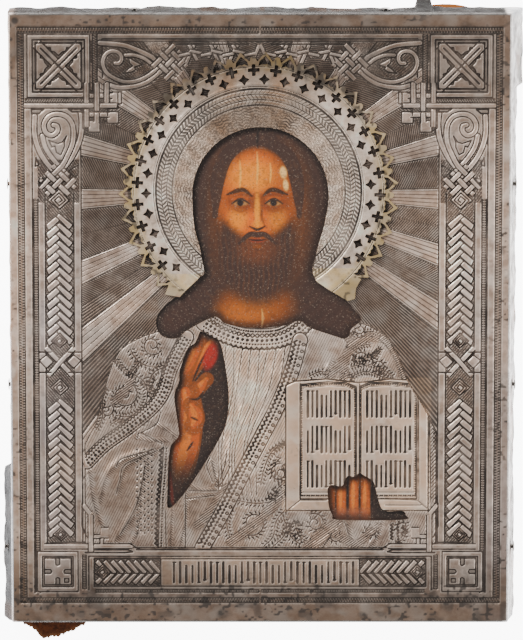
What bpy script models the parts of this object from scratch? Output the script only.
"""Icon panel: a painted wooden board under a pressed metal cover with a pierced halo.

The panel lies on its back. +Z points out of its front, +Y to the top of the picture and +X to the
picture's right. The origin is on the underside of the cloth at the middle of the face.
"""
import math

import bmesh
import bpy
from mathutils import Vector

MM = 0.001

# Whole panel
FACE_WIDTH = 181 * MM
FACE_HEIGHT = 222 * MM
BOARD_THICKNESS = 20 * MM
SHEET_THICKNESS = 0.7 * MM
CLOTH_THICKNESS = 1.0 * MM
CLEARANCE = 0.3 * MM
BOARD_EDGE_ROUND = 0.8 * MM

# Folded skirts of the cover: how deep they hang and how far their lower edges stand out
SKIRT_DEPTH = 18 * MM
TOP_FLARE = 1.4 * MM
BOTTOM_FLARE = 1.0 * MM
RIGHT_FLARE = 2.9 * MM
LEFT_FLARE = 0.8 * MM
FLAP_FLARE = 5.0 * MM
FLAP_LENGTH = 26 * MM
LOW_LEFT_FLARE = 3.7 * MM
LOW_LEFT_LENGTH = 55 * MM
FLAP_STEP = 1.5 * MM
TEAR_DEPTH = 2.2 * MM
TEAR_PITCH = 16 * MM

# Cloth on the back
CLOTH_INSET = 0.8 * MM
TONGUE_LENGTH = 11 * MM
TONGUE_START = 4.5 * MM
TONGUE_WIDTH = 23 * MM
RIM_BULGE = 3.2 * MM
RIM_BULGE_WIDTH = 22 * MM
RIM_BULGE_FROM_CORNER = 12 * MM

# Nails through the skirts
NAIL_HEAD_RADIUS = 2.8 * MM
NAIL_HEAD_HEIGHT = 1.5 * MM
NAIL_SHANK_RADIUS = 0.8 * MM
NAIL_LENGTH = 11 * MM
NAIL_DROP = 9 * MM
LONG_SIDE_NAILS = (0.72, 0.39, 0.12)
SHORT_SIDE_NAILS = (0.25, 0.75)

# Heights of the relief above the sheet
SINK = 0.3 * MM
BAND_RISE = 0.35 * MM
CHEVRON_RISE = 0.5 * MM
RAY_RISE = 0.3 * MM
ROBE_RISE = 0.6 * MM
TRIM_RISE = 0.85 * MM
FOLD_RISE = 1.0 * MM
BOOK_RISE = 1.25 * MM
PAGE_RISE = 1.6 * MM
STROKE_RISE = 1.85 * MM

# Border of the face, from the outside in
CORD_WIDTH = 2.4 * MM
CORD_FROM_SIDE = 3.2 * MM
CORD_FROM_TOP = 5.0 * MM
CORD_FROM_BOTTOM = 7.0 * MM
PANEL_FROM_SIDE = 18.1 * MM
SQUARE_SIZE = 22.6 * MM
SQUARE_FROM_TOP = 19.0 * MM
SQUARE_BAND = 1.9 * MM
LINE_GAP = 0.5 * MM
CROSS_REACH = 8.2 * MM
CROSS_ARM = 3.4 * MM
ARROW_REACH = 6.9 * MM
ARROW_WIDTH = 6.6 * MM
RAIL_WIDTH = 2.2 * MM
OUTER_RAIL_OFFSET = 6.6 * MM
INNER_RAIL_OFFSET = 6.6 * MM
BEAD_RAIL_OFFSET = 8.8 * MM
BEAD_RAIL_WIDTH = 1.2 * MM
CHEVRON_HALF = 4.9 * MM
CHEVRON_PITCH = 3.23 * MM
CHEVRON_BAR = 2.0 * MM
CHEVRON_SLOPE = 0.84
LOZENGE_HALF = 4.2 * MM
SPIRAL_RADIUS = 4.2 * MM
SPIRAL_WIDTH = 1.2 * MM
TOP_LOOP_TIP = 35.3 * MM

# Middle field with the figure
FIELD_FROM_SIDE = 26.1 * MM
FIELD_FROM_TOP = 28.5 * MM
FIELD_FROM_BOTTOM = 27.0 * MM

# Bottom band
LOW_SQUARE_SIZE = 14.0 * MM
LOW_SQUARE_FROM_BOTTOM = 18.8 * MM
LOW_SQUARE_FROM_SIDE = 17.0 * MM
LOW_PANEL_HEIGHT = 10.0 * MM
LOW_PANEL_FROM_BOTTOM = 18.4 * MM
LOW_CHEVRON_PITCH = 2.75 * MM
LOW_CHEVRONS = 7
TITLE_HALF = 36.2 * MM
LOW_PANEL_OUTER = 60.3 * MM

# Halo
HALO_THICKNESS = 0.6 * MM
HALO_LAP = 0.4 * MM
HALO_RIM = 46.9 * MM
TOOTH_RISE = 3.6 * MM
STAR_RADIUS = 40.5 * MM
STAR_REACH = 1.9 * MM
CROSSLET_RADIUS = 44.0 * MM
CROSSLET_REACH = 1.9 * MM
CROSSLET_ARM = 0.7 * MM
LEAF_RADIUS = 46.6 * MM
LEAF_REACH = 1.3 * MM
STAR_COUNT = 26
STAR_FIRST = math.radians(-38.1)
STAR_LAST = math.radians(222.7)
HALO_RING_RADIUS = 37.0 * MM
HALO_RING_WIDTH = 1.0 * MM
HALO_RING_RISE = 0.25 * MM

# Worked-out levels and edges
CLOTH_TOP = CLOTH_THICKNESS
BOARD_LOW = CLOTH_TOP + CLEARANCE
BOARD_TOP = BOARD_LOW + BOARD_THICKNESS
SHEET_LOW = BOARD_TOP + CLEARANCE
FACE_LEVEL = SHEET_LOW + SHEET_THICKNESS
HALO_LOW = FACE_LEVEL + RAY_RISE + CLEARANCE
HALF_WIDTH = FACE_WIDTH / 2
HALF_HEIGHT = FACE_HEIGHT / 2
BOARD_INSET = SHEET_THICKNESS + CLEARANCE + 0.2 * MM
FIELD_HALF = HALF_WIDTH - FIELD_FROM_SIDE
FIELD_TOP = HALF_HEIGHT - FIELD_FROM_TOP
FIELD_BOTTOM = FIELD_FROM_BOTTOM - HALF_HEIGHT
FIGURE_HEIGHT = FIELD_TOP - FIELD_BOTTOM
PANEL_X = HALF_WIDTH - PANEL_FROM_SIDE
SQUARE_Y = HALF_HEIGHT - SQUARE_FROM_TOP
PANEL_TOP = SQUARE_Y - SQUARE_SIZE / 2 - 2.5 * MM

# The figure: points in hundredths of its height, from the middle of its foot line
HEAD_CENTRE = (0.1, 77.8)
HEAD_RADIUS = 15.0
ARC_STEPS = 18
HEAD_LEFT = (
    (-14.8, 73.8), (-14.4, 70.2), (-13.4, 66.9), (-12.1, 61.2), (-13.3, 59.7), (-16.1, 57.1),
    (-20.0, 54.3), (-22.0, 52.0), (-22.6, 50.2), (-22.2, 48.2), (-21.1, 47.0), (-19.4, 46.5),
    (-17.6, 46.8), (-15.5, 48.5), (-9.9, 51.3), (-7.9, 50.0), (-4.7, 49.1), (0.4, 48.7),
)
HEAD_RIGHT = (
    (5.8, 49.4), (8.6, 50.4), (10.8, 48.9), (16.4, 47.0), (18.1, 46.5), (19.3, 47.0),
    (19.9, 48.7), (22.0, 50.6), (20.5, 52.8), (19.0, 54.5), (15.5, 56.7), (12.3, 59.0),
    (11.4, 61.0), (11.6, 63.1), (12.9, 67.0), (14.2, 71.3), (14.9, 75.0),
)
BLESSING_HAND = (
    (-13.0, 48.2), (-14.1, 45.6), (-15.7, 44.3), (-17.4, 39.8), (-17.6, 37.1), (-18.5, 34.9),
    (-18.6, 32.7), (-17.7, 26.4), (-17.9, 24.8), (-19.7, 22.0), (-20.2, 13.0), (-20.0, 9.2),
    (-17.1, 11.7), (-12.6, 18.2), (-8.1, 26.0), (-7.0, 30.4), (-6.8, 33.8), (-7.2, 38.2),
    (-8.6, 45.4), (-11.2, 47.2),
)
HOLDING_HAND = (
    (14.7, 13.3), (15.0, 14.1), (15.8, 14.4), (17.9, 14.2), (19.0, 16.3), (20.6, 16.2),
    (21.6, 17.0), (22.7, 16.5), (24.2, 15.6), (25.0, 14.6), (25.6, 12.0), (27.0, 8.7),
    (31.0, 8.6), (31.8, 7.7), (31.2, 6.6), (17.2, 6.6), (15.8, 7.7), (15.0, 9.8),
)
ROBE_LEFT = (
    (-38.2, 0.4), (-38.2, 23.4), (-35.8, 27.7), (-34.4, 33.1), (-33.1, 38.2), (-31.9, 41.6),
    (-30.4, 44.0), (-28.6, 45.4), (-25.0, 47.2), (-21.0, 48.4), (-9.9, 52.6),
)
ROBE_RIGHT = (
    (8.6, 52.0), (20.0, 50.4), (23.6, 49.4), (26.8, 47.7), (28.8, 45.1), (30.3, 41.8),
    (31.5, 38.7), (32.3, 36.6), (36.4, 30.0), (36.4, 6.5), (31.0, 0.4),
)
COLLAR_LOW = ((-11.0, 48.6), (-8.2, 47.0), (-4.4, 45.6), (-0.2, 45.2), (4.2, 45.6), (7.6, 47.4), (9.2, 48.8))
COLLAR_WIDTH = 3.6
RIGHT_TRIM = ((10.8, 47.0), (7.4, 39.2), (2.6, 27.8), (-3.3, 16.8), (-8.9, 7.5), (-12.2, 1.6))
LEFT_TRIM = ((-19.6, 42.6), (-22.0, 37.2), (-24.0, 32.6), (-26.9, 28.4), (-32.0, 24.6), (-36.0, 21.8))
CUFF = ((-20.6, 20.5), (-21.5, 14.0), (-21.7, 8.0), (-22.3, 1.6))
TRIM_WIDTH = 3.2
CUFF_WIDTH = 2.2
FOLD_WIDTH = 1.5
FOLDS = (
    ((-21.4, 22.6), (-30.6, 20.2), (-33.4, 15.8), (-35.4, 10.0)),
    ((-24.4, 20.0), (-29.2, 18.2), (-31.2, 12.4), (-33.4, 6.0)),
    ((-26.2, 16.0), (-27.6, 9.6), (-30.0, 4.2), (-34.2, 2.8)),
    ((-24.6, 10.0), (-25.6, 5.0), (-28.6, 1.8)),
    ((-29.0, 26.4), (-25.4, 25.2), (-22.0, 23.8)),
    ((-5.6, 43.6), (-5.2, 36.0), (-5.0, 28.6)),
    ((-2.0, 43.4), (-1.8, 36.4), (-2.4, 29.6)),
    ((1.4, 43.6), (1.0, 38.2), (-0.4, 32.4)),
    ((4.6, 43.8), (3.6, 39.0), (1.4, 34.0)),
    ((-7.0, 27.6), (-9.4, 20.0), (-10.4, 14.6), (-8.6, 11.6)),
    ((-3.8, 25.8), (-4.4, 20.4), (-6.8, 15.0)),
    ((-13.8, 14.0), (-12.6, 10.6), (-10.8, 9.4)),
    ((-16.4, 10.0), (-15.6, 6.0), (-15.0, 1.6)),
    ((18.6, 5.6), (16.4, 3.6), (13.6, 1.4)),
    ((23.6, 5.6), (23.0, 3.6), (21.4, 1.4)),
    ((28.4, 5.6), (27.8, 3.6), (26.8, 1.4)),
)
SCROLLS = (
    ((-23.4, 43.6), 2.4, 0.6), ((-29.2, 35.2), 2.9, 2.8), ((-0.4, 5.2), 3.0, 0.2),
    ((12.4, 4.6), 2.4, 1.9), ((17.6, 42.6), 2.6, 0.9),
)
SCROLL_TURNS = 1.2
SCROLL_POINTS = 10
SCROLL_WIDTH = 0.75
BOOK = ((5.6, 8.7), (36.7, 8.7), (36.6, 36.3), (35.2, 37.3), (28.4, 37.7), (21.5, 36.9), (14.6, 37.7), (7.6, 37.2), (5.6, 36.3))
LEFT_PAGE = ((8.7, 11.3), (21.0, 11.3), (21.0, 36.2), (18.8, 36.7), (8.7, 36.3))
RIGHT_PAGE = ((22.0, 11.3), (34.2, 11.3), (34.2, 36.3), (24.2, 36.7), (22.0, 36.2))
ROW_FEET = (29.2, 21.4, 13.9)
ROW_HEIGHT = 5.8
ROW_STROKES = 3
STROKE_WIDTH = 0.7
HALO_CENTRE = (-0.3, 78.6)
HALO_LEFT_END = ((-12.1, 61.2), (-13.6, 59.4), (-16.1, 57.1), (-17.4, 55.6), (-20.6, 56.2))
HALO_RIGHT_END = ((22.0, 59.6), (20.8, 57.6), (20.6, 55.2), (19.0, 54.8), (15.5, 56.9), (12.3, 59.0), (11.4, 61.0))

# Rays between the halo and the frame
RAY_BUNDLES = 21
RAY_FIRST = math.radians(-52)
RAY_LAST = math.radians(232)
RAYS_IN_BUNDLE = 2
RAY_HALF_ANGLE = math.radians(0.75)
RAY_SPREAD = math.radians(1.9)
RAY_LOW_ANGLE = math.radians(42)
RAY_START = 52 * MM
RAY_LOW_START = 66 * MM

for old in list(bpy.data.objects):
    bpy.data.objects.remove(old)

PANEL = bpy.data.collections.new("icon_panel")
CUTTERS = bpy.data.collections.new("cutters")
bpy.context.scene.collection.children.link(PANEL)
bpy.context.scene.collection.children.link(CUTTERS)


def make_material(name, colour, roughness, metallic):
    """Returns a plain Principled material."""
    material = bpy.data.materials.new(name)
    material.use_nodes = True
    shader = material.node_tree.nodes["Principled BSDF"]
    shader.inputs["Base Color"].default_value = (*colour, 1)
    shader.inputs["Roughness"].default_value = roughness
    shader.inputs["Metallic"].default_value = metallic
    return material


def take_mesh(source, name, collection):
    """Turns a curve object into a welded mesh object in the collection."""
    bpy.context.view_layer.update()
    graph = bpy.context.evaluated_depsgraph_get()
    mesh = bpy.data.meshes.new_from_object(source.evaluated_get(graph))
    mesh.name = name
    mesh.transform(source.matrix_world)
    bpy.data.objects.remove(source)
    body = bmesh.new()
    body.from_mesh(mesh)
    bmesh.ops.remove_doubles(body, verts=body.verts, dist=0.001 * MM)
    bmesh.ops.recalc_face_normals(body, faces=body.faces)
    body.to_mesh(mesh)
    body.free()
    return add_object(mesh, name, collection)


def add_object(mesh, name, collection):
    """Links a mesh as an object, hidden and drawn as wire where it only helps to shape another."""
    made = bpy.data.objects.new(name, mesh)
    collection.objects.link(made)
    if collection is CUTTERS:
        made.hide_render = True
        made.display_type = "WIRE"
    return made


def plate(name, outlines, low, high, collection=CUTTERS):
    """Fills closed flat outlines and gives them the thickness from low to high."""
    curve = bpy.data.curves.new(name, "CURVE")
    curve.dimensions = "2D"
    curve.fill_mode = "BOTH"
    curve.extrude = (high - low) / 2
    for outline in outlines:
        spline = curve.splines.new("POLY")
        spline.points.add(len(outline) - 1)
        for point, place in zip(spline.points, outline):
            point.co = (place[0], place[1], 0, 1)
        spline.use_cyclic_u = True
    flat = bpy.data.objects.new(name + "_outline", curve)
    flat.location.z = (low + high) / 2
    bpy.context.scene.collection.objects.link(flat)
    return take_mesh(flat, name, collection)


def ridges(name, paths, width, foot, crest):
    """Tapered ridges along open paths, four-sided and half sunk, with their crests at one height."""
    curve = bpy.data.curves.new(name, "CURVE")
    curve.dimensions = "3D"
    curve.twist_mode = "Z_UP"
    curve.bevel_depth = width / 2
    curve.bevel_resolution = 0
    curve.use_fill_caps = True
    for path in paths:
        spline = curve.splines.new("POLY")
        spline.points.add(len(path) - 1)
        for index, (point, place) in enumerate(zip(spline.points, path)):
            point.co = (place[0], place[1], 0, 1)
            share = index / (len(path) - 1)
            point.radius = 0.35 + 0.65 * math.sin(math.pi * min(share * 1.4, 1))
    tubes = bpy.data.objects.new(name + "_paths", curve)
    bpy.context.scene.collection.objects.link(tubes)
    made = take_mesh(tubes, name, CUTTERS)
    for vertex in made.data.vertices:
        vertex.co.z = foot + vertex.co.z * (crest - foot) / (width / 2)
    return made


def shape_with(target, helper, operation, crossing=False):
    """Adds a Boolean of the helper to the target; crossing allows the helper to cross itself."""
    change = target.modifiers.new(helper.name, "BOOLEAN")
    change.operation = operation
    change.solver = "EXACT"
    change.use_self = crossing
    change.object = helper


def figure_point(point):
    """Turns a point of the figure, in hundredths of its height, into metres on the face."""
    return (point[0] * FIGURE_HEIGHT / 100, FIELD_BOTTOM + point[1] * FIGURE_HEIGHT / 100)


def figure_outline(points):
    """Turns a list of figure points into metres."""
    return [figure_point(point) for point in points]


def figure_length(length):
    """Turns a length of the figure, in hundredths of its height, into metres."""
    return length * FIGURE_HEIGHT / 100


def rectangle(left, bottom, right, top):
    """Corners of a rectangle."""
    return [(left, bottom), (right, bottom), (right, top), (left, top)]


def square(centre, half):
    """Corners of a square."""
    return rectangle(centre[0] - half, centre[1] - half, centre[0] + half, centre[1] + half)


def polar(centre, radius, angle):
    """Point at a radius and angle from a centre."""
    return (centre[0] + radius * math.cos(angle), centre[1] + radius * math.sin(angle))


def arc(centre, radius, first, last, steps):
    """Points along an arc."""
    return [polar(centre, radius, first + (last - first) * step / steps) for step in range(steps + 1)]


def mirrored(outlines):
    """The same outlines on both sides of the middle line."""
    return outlines + [[(-x, y) for x, y in reversed(outline)] for outline in outlines]


def turned(outline, centre, angle):
    """Turns an outline given round the origin, and moves it to the centre."""
    cosine, sine = math.cos(angle), math.sin(angle)
    return [(centre[0] + x * cosine - y * sine, centre[1] + x * sine + y * cosine) for x, y in outline]


def ribbon(path, width):
    """Outline of a band of even width along an open path."""
    left, right = [], []
    for index, place in enumerate(path):
        before = Vector(path[max(index - 1, 0)])
        after = Vector(path[min(index + 1, len(path) - 1)])
        along = (after - before).normalized()
        side = Vector((-along.y, along.x)) * width / 2
        left.append(tuple(Vector(place) + side))
        right.append(tuple(Vector(place) - side))
    return left + right[::-1]


def lozenge(centre, half_across, half_along):
    """Diamond with its corners on the axes."""
    x, y = centre
    return [(x + half_across, y), (x, y + half_along), (x - half_across, y), (x, y - half_along)]


def chevron(centre, half, bar, slope):
    """An inverted V whose apex is at the centre, pointing to +Y."""
    x, y = centre
    drop = half * slope
    return [(x, y), (x - half, y - drop), (x - half, y - drop - bar), (x, y - bar), (x + half, y - drop - bar),
            (x + half, y - drop)]


def head_outline():
    """Opening for the head: an arc over the top, and the sides of the hair and the collar below."""
    centre = figure_point(HEAD_CENTRE)
    top = arc(centre, figure_length(HEAD_RADIUS), math.radians(-4), math.radians(184), ARC_STEPS)
    return top + figure_outline(HEAD_LEFT) + figure_outline(HEAD_RIGHT)


def build_board(material):
    """Wooden board with eased edges."""
    bpy.ops.mesh.primitive_cube_add(size=1, location=(0, 0, BOARD_LOW + BOARD_THICKNESS / 2))
    board = bpy.context.object
    board.name = "board"
    board.data.name = "board"
    board.scale = (FACE_WIDTH - 2 * BOARD_INSET, FACE_HEIGHT - 2 * BOARD_INSET, BOARD_THICKNESS)
    bpy.ops.object.transform_apply(location=False, rotation=False, scale=True)
    for holder in list(board.users_collection):
        holder.objects.unlink(board)
    PANEL.objects.link(board)
    easing = board.modifiers.new("eased edges", "BEVEL")
    easing.width = BOARD_EDGE_ROUND
    easing.segments = 1
    board.data.materials.append(material)
    return board


def build_cloth(material):
    """Cloth over the back, with its torn tongue and the rim that bulges past the top edge."""
    side = HALF_WIDTH - CLOTH_INSET
    end = HALF_HEIGHT - CLOTH_INSET
    tongue_left = TONGUE_START - HALF_WIDTH
    bulge_right = HALF_WIDTH - RIM_BULGE_FROM_CORNER
    tear = [
        (tongue_left, -end), (tongue_left + 0.04 * TONGUE_WIDTH, -end - 0.55 * TONGUE_LENGTH),
        (tongue_left + 0.32 * TONGUE_WIDTH, -end - TONGUE_LENGTH),
        (tongue_left + 0.62 * TONGUE_WIDTH, -end - 0.72 * TONGUE_LENGTH),
        (tongue_left + 0.94 * TONGUE_WIDTH, -end - 0.5 * TONGUE_LENGTH), (tongue_left + TONGUE_WIDTH, -end),
    ]
    bulge = [
        (bulge_right + 0.5 * RIM_BULGE_WIDTH * math.cos(angle) - RIM_BULGE_WIDTH / 2, end + RIM_BULGE * math.sin(angle))
        for angle in (math.radians(25 * step) for step in range(1, 7))
    ]
    outline = [(-side, -end)] + tear + [(side, -end), (side, end)] + bulge + [(-side, end)]
    cloth = plate("backing_cloth", [outline], 0, CLOTH_TOP, PANEL)
    cloth.data.materials.append(material)
    return cloth


def skirt_corners():
    """Corners and steps round the face, each with how far the skirt stands out there."""
    flap_end = HALF_HEIGHT - FLAP_LENGTH
    low_end = LOW_LEFT_LENGTH - HALF_HEIGHT
    return [
        ((HALF_WIDTH, HALF_HEIGHT), (FLAP_FLARE, TOP_FLARE)),
        ((-HALF_WIDTH, HALF_HEIGHT), (-LEFT_FLARE, TOP_FLARE)),
        ((-HALF_WIDTH, low_end + FLAP_STEP), (-LEFT_FLARE, 0)),
        ((-HALF_WIDTH, low_end), (-LOW_LEFT_FLARE, 0)),
        ((-HALF_WIDTH, -HALF_HEIGHT), (-LOW_LEFT_FLARE, -BOTTOM_FLARE)),
        ((HALF_WIDTH, -HALF_HEIGHT), (RIGHT_FLARE, -BOTTOM_FLARE)),
        ((HALF_WIDTH, flap_end - FLAP_STEP), (RIGHT_FLARE, 0)),
        ((HALF_WIDTH, flap_end), (FLAP_FLARE, 0)),
    ]


def build_tray():
    """Face and folded skirts as one open sheet, thickened inwards."""
    corners = skirt_corners()
    body = bmesh.new()
    rim = [body.verts.new((place[0], place[1], FACE_LEVEL)) for place, flare in corners]
    face = body.faces.new(rim)
    pulled = bmesh.ops.extrude_edge_only(body, edges=list(face.edges))
    low = [item for item in pulled["geom"] if isinstance(item, bmesh.types.BMVert)]
    for vertex in low:
        place, flare = min(corners, key=lambda corner: (Vector(corner[0]) - vertex.co.xy).length)
        vertex.co += Vector((flare[0], flare[1], -SKIRT_DEPTH))
    bmesh.ops.recalc_face_normals(body, faces=body.faces)
    if face.normal.z < 0:
        bmesh.ops.reverse_faces(body, faces=body.faces)
    mesh = bpy.data.meshes.new("cover")
    body.to_mesh(mesh)
    body.free()
    tray = add_object(mesh, "cover", PANEL)
    wall = tray.modifiers.new("sheet thickness", "SOLIDIFY")
    wall.thickness = SHEET_THICKNESS
    wall.offset = -1
    wall.use_even_offset = True
    tray.modifiers.new("flat facets", "TRIANGULATE")
    return tray


def tear_cutter(name, length, turn, distance, seed):
    """Wavy block that tears the lower edge of one skirt."""
    steps = int(length / TEAR_PITCH)
    low = FACE_LEVEL - SKIRT_DEPTH
    start = -length / 2 + TEAR_PITCH
    outline = [(start - 2 * MM, low - 4 * MM)]
    for step in range(steps - 1):
        height = 0.5 + 0.5 * math.sin(step * 2.3 + seed) * math.cos(step * 1.1 + 2 * seed)
        outline.append((start + step * TEAR_PITCH, low + height * TEAR_DEPTH))
    outline.append((start + (steps - 2) * TEAR_PITCH + 2 * MM, low - 4 * MM))
    cutter = plate(name, [outline], -5 * MM, 8 * MM)
    # The outline was drawn as length and height, and is stood up against its side
    for vertex in cutter.data.vertices:
        along, height, out = vertex.co
        place = Vector((along, distance + out)) if turn == 0 else Vector((0, 0))
        if turn == 1:
            place = Vector((-distance - out, along))
        elif turn == 2:
            place = Vector((-along, -distance - out))
        elif turn == 3:
            place = Vector((distance + out, -along))
        vertex.co = (place.x, place.y, height)
    body = bmesh.new()
    body.from_mesh(cutter.data)
    bmesh.ops.recalc_face_normals(body, faces=body.faces)
    body.to_mesh(cutter.data)
    body.free()
    return cutter


def border_bands():
    """Cord border, corner squares, rails and panel frames, as rings and strips."""
    outer_side = HALF_WIDTH - CORD_FROM_SIDE
    outer_top = HALF_HEIGHT - CORD_FROM_TOP
    outer_bottom = CORD_FROM_BOTTOM - HALF_HEIGHT
    cord = [
        rectangle(-outer_side, outer_bottom, outer_side, outer_top),
        rectangle(-outer_side + CORD_WIDTH, outer_bottom + CORD_WIDTH, outer_side - CORD_WIDTH, outer_top - CORD_WIDTH),
    ]
    centre = (PANEL_X, SQUARE_Y)
    half = SQUARE_SIZE / 2
    squares = [square(centre, half), square(centre, half - SQUARE_BAND)]
    rail_low = FIELD_BOTTOM + LINE_GAP
    rails = [
        rectangle(PANEL_X + offset - width / 2, rail_low, PANEL_X + offset + width / 2, PANEL_TOP)
        for offset, width in (
            (OUTER_RAIL_OFFSET, RAIL_WIDTH), (-INNER_RAIL_OFFSET, RAIL_WIDTH), (BEAD_RAIL_OFFSET, BEAD_RAIL_WIDTH)
        )
    ]
    low_centre = (HALF_WIDTH - LOW_SQUARE_FROM_SIDE, LOW_SQUARE_FROM_BOTTOM - HALF_HEIGHT)
    low_half = LOW_SQUARE_SIZE / 2
    low_squares = [square(low_centre, low_half), square(low_centre, low_half - SQUARE_BAND)]
    panel_low = LOW_PANEL_FROM_BOTTOM - HALF_HEIGHT - LOW_PANEL_HEIGHT / 2
    panel_high = panel_low + LOW_PANEL_HEIGHT
    frame = LINE_GAP * 3
    title = [
        rectangle(-LOW_PANEL_OUTER - frame, panel_low - frame, LOW_PANEL_OUTER + frame, panel_high + frame),
        rectangle(-TITLE_HALF, panel_low, TITLE_HALF, panel_high),
    ]
    side_panel = [rectangle(TITLE_HALF + frame, panel_low, LOW_PANEL_OUTER, panel_high)]
    return cord + mirrored(squares + rails + low_squares + side_panel) + title


def chevron_column():
    """Chevrons, lozenges and the knot down one side panel."""
    drop = CHEVRON_HALF * CHEVRON_SLOPE
    shapes = []
    weave_low = PANEL_TOP - 33 * MM
    shapes.append(lozenge((PANEL_X, weave_low), LOZENGE_HALF, LOZENGE_HALF))
    middle = (PANEL_TOP + FIELD_BOTTOM) / 2 - 12 * MM
    runs = (
        (weave_low - LOZENGE_HALF - LINE_GAP, middle + 3 * LOZENGE_HALF),
        (middle - 3 * LOZENGE_HALF, FIELD_BOTTOM + 2 * LOZENGE_HALF),
    )
    for top, bottom in runs:
        count = int((top - bottom - drop) / CHEVRON_PITCH)
        for step in range(count):
            apex = (PANEL_X, top - step * CHEVRON_PITCH)
            shapes.append(chevron(apex, CHEVRON_HALF, CHEVRON_BAR, CHEVRON_SLOPE))
    for offset in (1.9, -1.9):
        shapes.append(lozenge((PANEL_X, middle + offset * LOZENGE_HALF), LOZENGE_HALF * 0.85, LOZENGE_HALF * 0.75))
    for offset in (1.15, -1.15):
        shapes.append(lozenge((PANEL_X + offset * LOZENGE_HALF, middle), LOZENGE_HALF * 0.6, LOZENGE_HALF * 0.6))
    shapes.append(lozenge((PANEL_X, middle), LOZENGE_HALF * 0.45, LOZENGE_HALF * 0.9))
    shapes.append(lozenge((PANEL_X, FIELD_BOTTOM + LOZENGE_HALF), LOZENGE_HALF * 0.9, LOZENGE_HALF * 0.9))
    return shapes


def pointed_loop(tip, reach, half, turn):
    """Band round a loop that is pointed at its tip and round at its far end, as two outlines."""
    def outline(grow):
        centre_distance = reach - half
        radius = half + grow
        lean = math.acos(min(radius / (centre_distance + grow * 2), 0.99))
        points = [(-grow * 2, 0)]
        points += arc((centre_distance, 0), radius, math.pi - lean, lean - math.pi, 9)[::-1]
        return turned(points, tip, turn)
    return [outline(0), outline(-1.6 * MM)]


def loops_and_weaves():
    """Pointed loops with a spiral inside, over each side panel and beside the top of the halo."""
    side_tip = (PANEL_X, PANEL_TOP - 23 * MM)
    side_loop = pointed_loop(side_tip, 20.5 * MM, 8 * MM, math.pi / 2)
    top_tip = (TOP_LOOP_TIP, (FIELD_TOP + HALF_HEIGHT - CORD_FROM_TOP - CORD_WIDTH) / 2)
    top_loop = pointed_loop(top_tip, 22 * MM, 8 * MM, 0)
    bars = []
    for step in range(3):
        offset = (2.2 + 3.0 * step) * MM
        for sign in (1, -1):
            bar = rectangle(-2.4 * MM, -0.7 * MM, 2.4 * MM, 0.7 * MM)
            centre = (side_tip[0] + sign * 2.6 * MM, side_tip[1] - offset)
            bars.append(turned(bar, centre, -sign * math.pi / 4))
            centre = (top_tip[0] - offset, top_tip[1] + sign * 2.6 * MM)
            bars.append(turned(bar, centre, sign * math.pi / 4))
    return side_loop + top_loop + bars


def spiral_path(centre, radius, turns, start, steps):
    """Archimedean spiral from its outer end inwards."""
    return [
        polar(centre, radius * (1 - 0.7 * step / steps), start + turns * 2 * math.pi * step / steps)
        for step in range(steps + 1)
    ]


def corner_knots():
    """Woven bars at the inner corners of the field, top and bottom."""
    bars = []
    left = FIELD_HALF - 12 * MM
    top = FIELD_TOP - 1 * MM
    for step in range(3):
        level = top - (2.2 + 3.6 * step) * MM
        start = left + 1.2 * step * MM
        bars.append(rectangle(start, level - 0.8 * MM, start + 4.4 * MM, level + 0.8 * MM))
        across = left + (8.4 + 2.0 * (step % 2)) * MM
        bars.append(rectangle(across - 0.7 * MM, level - 1.5 * MM, across + 0.7 * MM, level + 1.5 * MM))
    low = FIELD_BOTTOM + 1 * MM
    bars.append(rectangle(FIELD_HALF - 11.5 * MM, low + 2.2 * MM, FIELD_HALF - 8.2 * MM, low + 5.4 * MM))
    bars.append(rectangle(FIELD_HALF - 5.4 * MM, low + 0.4 * MM, FIELD_HALF - 4.0 * MM, low + 12 * MM))
    bars.append(rectangle(FIELD_HALF - 20 * MM, low - 0.4 * MM, FIELD_HALF - 6.2 * MM, low + 1.0 * MM))
    return bars


def square_fillings():
    """Crosses and arrow pieces inside the top corner squares, and keys inside the low ones."""
    centre = (PANEL_X, SQUARE_Y)
    arm = CROSS_ARM / 2
    half_cross = [
        (arm, arm), (arm, CROSS_REACH), (-arm, CROSS_REACH), (-arm, arm), (-CROSS_REACH, arm), (-CROSS_REACH, -arm),
        (-arm, -arm), (-arm, -CROSS_REACH), (arm, -CROSS_REACH), (arm, -arm), (CROSS_REACH, -arm), (CROSS_REACH, arm),
    ]
    shapes = [turned(half_cross, centre, math.pi / 4)]
    arrow = [(-ARROW_WIDTH / 2, ARROW_REACH), (0, 3.4 * MM), (ARROW_WIDTH / 2, ARROW_REACH)]
    shapes += [turned(arrow, centre, quarter * math.pi / 2) for quarter in range(4)]
    low_centre = (HALF_WIDTH - LOW_SQUARE_FROM_SIDE, LOW_SQUARE_FROM_BOTTOM - HALF_HEIGHT)
    reach = LOW_SQUARE_SIZE / 2 - SQUARE_BAND - 1 * MM
    key = 0.8 * MM
    tip = 1.1 * MM
    low_cross = [
        (key, key), (tip, reach), (-tip, reach), (-key, key), (-reach, tip), (-reach, -tip),
        (-key, -key), (-tip, -reach), (tip, -reach), (key, -key), (reach, -tip), (reach, tip),
    ]
    shapes.append(turned(low_cross, low_centre, 0))
    for quarter in range(4):
        shapes.append(turned(square((reach * 0.72, reach * 0.72), key), low_centre, quarter * math.pi / 2))
    return shapes


def low_chevrons():
    """Chevrons that point outwards and a lozenge, beside the title panel."""
    level = LOW_PANEL_FROM_BOTTOM - HALF_HEIGHT
    half = LOW_PANEL_HEIGHT / 2 - 0.9 * MM
    shapes = []
    for step in range(LOW_CHEVRONS):
        place = (TITLE_HALF + 5.6 * MM + step * LOW_CHEVRON_PITCH, level)
        shapes.append(turned(chevron((0, 0), half, LOW_CHEVRON_PITCH * 0.62, 0.7), place, -math.pi / 2))
    return shapes


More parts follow.
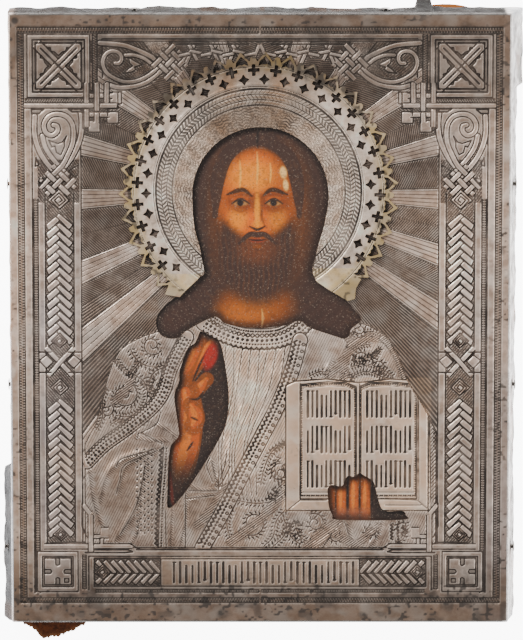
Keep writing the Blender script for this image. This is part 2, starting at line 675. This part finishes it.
def title_strokes():
    """A row of plain upright strokes in the title panel."""
    level = LOW_PANEL_FROM_BOTTOM - HALF_HEIGHT
    count = 10
    pitch = 2 * (TITLE_HALF - 4 * MM) / count
    strokes = []
    for step in range(count):
        x = -TITLE_HALF + 4 * MM + (step + 0.5) * pitch
        half = (3.6 if step % 3 else 2.6) * MM
        strokes.append(rectangle(x - 0.6 * MM, level - half, x + 0.6 * MM, level + half))
    return strokes


def page_strokes():
    """Rows of plain upright strokes on the two pages."""
    strokes = []
    for page_left, page_right in ((LEFT_PAGE[0][0], LEFT_PAGE[1][0]), (RIGHT_PAGE[0][0], RIGHT_PAGE[1][0])):
        pitch = (page_right - page_left - 2) / ROW_STROKES
        for row, foot in enumerate(ROW_FEET):
            for step in range(ROW_STROKES):
                x = page_left + 1 + (step + 0.5) * pitch
                top = foot + ROW_HEIGHT * (1 if (step + row) % 3 else 0.8)
                strokes.append(figure_outline(rectangle(x - STROKE_WIDTH / 2, foot, x + STROKE_WIDTH / 2, top)))
    return strokes


def ray_outlines():
    """Slim wedges in bundles round the halo, each ending at the frame of the field."""
    centre = figure_point(HALO_CENTRE)
    right = FIELD_HALF - 1.5 * MM
    top = FIELD_TOP - 1.5 * MM
    outlines = []
    for bundle in range(RAY_BUNDLES):
        middle = RAY_FIRST + (RAY_LAST - RAY_FIRST) * bundle / (RAY_BUNDLES - 1)
        for ray in range(RAYS_IN_BUNDLE):
            angle = middle + (ray - (RAYS_IN_BUNDLE - 1) / 2) * RAY_SPREAD * 2
            reaches = [(math.copysign(right, math.cos(angle)) - centre[0]) / math.cos(angle)]
            if math.sin(angle) > 0:
                reaches.append((top - centre[1]) / math.sin(angle))
            low = -math.sin(angle) > math.sin(RAY_LOW_ANGLE)
            start = RAY_LOW_START if low else RAY_START
            end = min(reaches)
            if end - start > 4 * MM:
                outlines.append([
                    polar(centre, start, angle - RAY_HALF_ANGLE), polar(centre, end, angle - RAY_HALF_ANGLE),
                    polar(centre, end, angle + RAY_HALF_ANGLE), polar(centre, start, angle + RAY_HALF_ANGLE),
                ])
    return outlines


def build_relief(cover):
    """Raises the ornament, the robe and the book on the sheet."""
    foot = FACE_LEVEL - SINK

    def add(name, outlines, rise):
        shape_with(cover, plate(name, outlines, foot, FACE_LEVEL + rise), "UNION")

    add("bands", border_bands(), BAND_RISE)
    add("chevrons", mirrored(chevron_column()), CHEVRON_RISE)
    add("loops", mirrored(loops_and_weaves()), BAND_RISE)
    add("corner_fillings", mirrored(square_fillings()), CHEVRON_RISE)
    add("low_chevrons", mirrored(low_chevrons()), CHEVRON_RISE)
    add("title_strokes", title_strokes(), BAND_RISE)
    add("rays", ray_outlines(), RAY_RISE)
    add("robe", [figure_outline(ROBE_LEFT + ROBE_RIGHT)], ROBE_RISE)
    add("corner_knots", mirrored(corner_knots()), ROBE_RISE + 0.1 * MM)
    trims = [ribbon(figure_outline(path), figure_length(TRIM_WIDTH)) for path in (RIGHT_TRIM, LEFT_TRIM)]
    trims.append(ribbon(figure_outline(CUFF), figure_length(CUFF_WIDTH)))
    add("trims", trims, TRIM_RISE)
    add("collar", [ribbon(figure_outline(COLLAR_LOW), figure_length(COLLAR_WIDTH))], TRIM_RISE + 0.1 * MM)
    folds = [figure_outline(path) for path in FOLDS]
    level = FACE_LEVEL + ROBE_RISE
    fold_set = ridges("folds", folds, figure_length(FOLD_WIDTH), level - 0.1 * MM, FACE_LEVEL + FOLD_RISE)
    shape_with(cover, fold_set, "UNION", crossing=True)
    scrolls = [
        spiral_path(figure_point(centre), figure_length(radius), SCROLL_TURNS, start, SCROLL_POINTS)
        for centre, radius, start in SCROLLS
    ]
    crest = FACE_LEVEL + TRIM_RISE
    scroll_set = ridges("scrolls", scrolls, figure_length(SCROLL_WIDTH), level - 0.1 * MM, crest)
    shape_with(cover, scroll_set, "UNION", crossing=True)
    side_spiral = spiral_path((PANEL_X, PANEL_TOP - 10 * MM), SPIRAL_RADIUS, SCROLL_TURNS, math.pi / 2, SCROLL_POINTS)
    top_level = (FIELD_TOP + HALF_HEIGHT - CORD_FROM_TOP - CORD_WIDTH) / 2
    top_spiral = spiral_path((TOP_LOOP_TIP + 14.2 * MM, top_level), SPIRAL_RADIUS, SCROLL_TURNS, 0, SCROLL_POINTS)
    spirals = mirrored([side_spiral, top_spiral])
    spiral_set = ridges("spirals", spirals, SPIRAL_WIDTH, FACE_LEVEL - 0.1 * MM, FACE_LEVEL + BAND_RISE)
    shape_with(cover, spiral_set, "UNION", crossing=True)
    add("book", [figure_outline(BOOK)], BOOK_RISE)
    add("pages", [figure_outline(LEFT_PAGE), figure_outline(RIGHT_PAGE)], PAGE_RISE)
    add("page_strokes", page_strokes(), STROKE_RISE)


def open_cover(cover):
    """Cuts the three openings over the painted head and hands."""
    low = SHEET_LOW - 1 * MM
    high = FACE_LEVEL + 4 * MM
    outlines = (head_outline(), figure_outline(BLESSING_HAND), figure_outline(HOLDING_HAND))
    for name, outline in zip(("head_opening", "blessing_opening", "holding_opening"), outlines):
        shape_with(cover, plate(name, [outline], low, high), "DIFFERENCE")


def build_cover(material):
    """The pressed sheet with its skirts, relief and openings."""
    cover = build_tray()
    for name, point, outward, flare in nail_places():
        shape_with(cover, nail_hole(name + "_hole", point, outward), "DIFFERENCE")
    sides = ((FACE_WIDTH, 0, HALF_HEIGHT, 0.4), (FACE_HEIGHT, 1, HALF_WIDTH, 1.7),
             (FACE_WIDTH, 2, HALF_HEIGHT, 2.9), (FACE_HEIGHT, 3, HALF_WIDTH, 4.1))
    for length, turn, distance, seed in sides:
        shape_with(cover, tear_cutter(f"tear_{turn}", length, turn, distance, seed), "DIFFERENCE")
    build_relief(cover)
    open_cover(cover)
    cover.data.materials.append(material)
    return cover


def halo_outline(centre):
    """Rim with a pointed tooth over each leaf hole, and the inner edge beside the head."""
    pitch = (STAR_LAST - STAR_FIRST) / (STAR_COUNT - 1)
    points = []
    for index in range(STAR_COUNT):
        angle = STAR_FIRST + index * pitch
        points.append(polar(centre, HALO_RIM, angle - 0.4 * pitch))
        points.append(polar(centre, HALO_RIM + TOOTH_RISE, angle))
        points.append(polar(centre, HALO_RIM, angle + 0.4 * pitch))
    head = figure_point(HEAD_CENTRE)
    inner = arc(head, figure_length(HEAD_RADIUS) - HALO_LAP, math.radians(184), math.radians(-4), ARC_STEPS)
    left_end = figure_outline(HALO_LEFT_END)
    left_side = figure_outline([(x + 0.25, y) for x, y in HEAD_LEFT[:3]])[::-1]
    right_side = figure_outline([(x - 0.25, y) for x, y in HEAD_RIGHT[-3:]])[::-1]
    return points + left_end[::-1] + left_side + inner + right_side + figure_outline(HALO_RIGHT_END)[::-1]


def halo_holes(centre):
    """Rows of four-pointed stars, small crosses and leaves cut through the halo."""
    pitch = (STAR_LAST - STAR_FIRST) / (STAR_COUNT - 1)
    star = []
    for corner in range(4):
        star.append(polar((0, 0), STAR_REACH, corner * math.pi / 2))
        star.append(polar((0, 0), STAR_REACH * 0.52, (corner + 0.5) * math.pi / 2))
    crosslet = []
    for corner in range(4):
        crosslet.append(polar((0, 0), CROSSLET_REACH, corner * math.pi / 2))
        crosslet.append(polar((0, 0), CROSSLET_ARM, (corner + 0.5) * math.pi / 2))
    leaf = [(LEAF_REACH, 0), (-LEAF_REACH, LEAF_REACH), (-LEAF_REACH * 0.3, 0), (-LEAF_REACH, -LEAF_REACH)]
    holes = []
    for index in range(STAR_COUNT):
        angle = STAR_FIRST + index * pitch
        holes.append(turned(star, polar(centre, STAR_RADIUS, angle), angle))
        holes.append(turned(leaf, polar(centre, LEAF_RADIUS, angle), angle))
        between = angle + pitch / 2
        if index < STAR_COUNT - 1:
            holes.append(turned(crosslet, polar(centre, CROSSLET_RADIUS, between), between))
    return holes


def build_halo(material):
    """Pierced plate round the head, with one raised line."""
    centre = figure_point(HALO_CENTRE)
    high = HALO_LOW + HALO_THICKNESS
    halo = plate("halo", [halo_outline(centre)] + halo_holes(centre), HALO_LOW, high, PANEL)
    span = (math.radians(-30), math.radians(210))
    ring = arc(centre, HALO_RING_RADIUS + HALO_RING_WIDTH / 2, *span, ARC_STEPS)
    ring += arc(centre, HALO_RING_RADIUS - HALO_RING_WIDTH / 2, *span[::-1], ARC_STEPS)
    shape_with(halo, plate("halo_ring", [ring], high - SINK, high + HALO_RING_RISE), "UNION")
    halo.data.materials.append(material)
    return halo


def nail_places():
    """Where each nail enters its side: name, point on the face's edge, outward direction and flare."""
    low_end = LOW_LEFT_LENGTH - HALF_HEIGHT
    places = []
    for index, share in enumerate(LONG_SIDE_NAILS):
        y = -HALF_HEIGHT + share * FACE_HEIGHT
        places.append((f"nail_right_{index + 1}", (HALF_WIDTH, y), (1, 0), RIGHT_FLARE))
        flare = LOW_LEFT_FLARE if y < low_end else LEFT_FLARE
        places.append((f"nail_left_{index + 1}", (-HALF_WIDTH, y), (-1, 0), flare))
    for index, share in enumerate(SHORT_SIDE_NAILS):
        x = -HALF_WIDTH + share * FACE_WIDTH
        places.append((f"nail_top_{index + 1}", (x, HALF_HEIGHT), (0, 1), TOP_FLARE))
        places.append((f"nail_bottom_{index + 1}", (x, -HALF_HEIGHT), (0, -1), BOTTOM_FLARE))
    return places


def nail_profile():
    """Half profile of a nail along its axis: its dome, the underside of its head and its shank."""
    dome = [
        (NAIL_HEAD_RADIUS * math.sin(angle), NAIL_HEAD_HEIGHT * math.cos(angle))
        for angle in (math.radians(45 * step) for step in range(3))
    ]
    return dome + [(NAIL_SHANK_RADIUS, 0), (NAIL_SHANK_RADIUS, -NAIL_LENGTH), (0, -NAIL_LENGTH)]


def build_nail(name, point, outward, flare, material):
    """One turned nail, seated clear of the sloping skirt."""
    mesh = bpy.data.meshes.new(name)
    profile = [(radius, 0, height) for radius, height in nail_profile()]
    mesh.from_pydata(profile, [(index, index + 1) for index in range(len(profile) - 1)], [])
    nail = add_object(mesh, name, PANEL)
    screw = nail.modifiers.new("turned", "SCREW")
    screw.steps = 8
    screw.render_steps = 8
    screw.use_merge_vertices = True
    screw.merge_threshold = 0.001 * MM
    slope = flare / SKIRT_DEPTH
    out = slope * NAIL_DROP + CLEARANCE + NAIL_HEAD_RADIUS * slope + 0.1 * MM
    direction = Vector((outward[0], outward[1], 0))
    nail.location = Vector((point[0], point[1], FACE_LEVEL - NAIL_DROP)) + direction * out
    nail.rotation_mode = "QUATERNION"
    nail.rotation_quaternion = direction.to_track_quat("Z", "Y")
    nail.data.materials.append(material)
    return nail


def nail_hole(name, point, outward):
    """Clearance hole for a nail's shank through its skirt and into the board."""
    body = bmesh.new()
    radius = NAIL_SHANK_RADIUS + CLEARANCE
    bmesh.ops.create_cone(body, cap_ends=True, segments=6, radius1=radius, radius2=radius, depth=2 * NAIL_LENGTH)
    mesh = bpy.data.meshes.new(name)
    body.to_mesh(mesh)
    body.free()
    hole = add_object(mesh, name, CUTTERS)
    direction = Vector((outward[0], outward[1], 0))
    hole.location = Vector((point[0], point[1], FACE_LEVEL - NAIL_DROP)) - direction * CLEARANCE * 2
    hole.rotation_mode = "QUATERNION"
    hole.rotation_quaternion = direction.to_track_quat("Z", "Y")
    return hole


def build_panel():
    """Makes every piece."""
    wood = make_material("board wood", (0.32, 0.19, 0.09), 0.7, 0)
    silver = make_material("cover silver", (0.55, 0.5, 0.46), 0.4, 1)
    gilt = make_material("halo silver gilt", (0.6, 0.54, 0.42), 0.38, 1)
    velvet = make_material("velvet", (0.42, 0.12, 0.04), 0.95, 0)
    iron = make_material("nail metal", (0.25, 0.22, 0.2), 0.5, 1)
    board = build_board(wood)
    build_cloth(velvet)
    cover = build_cover(silver)
    build_halo(gilt)
    for name, point, outward, flare in nail_places():
        build_nail(name, point, outward, flare, iron)
        shape_with(board, bpy.data.objects[name + "_hole"], "DIFFERENCE")


build_panel()
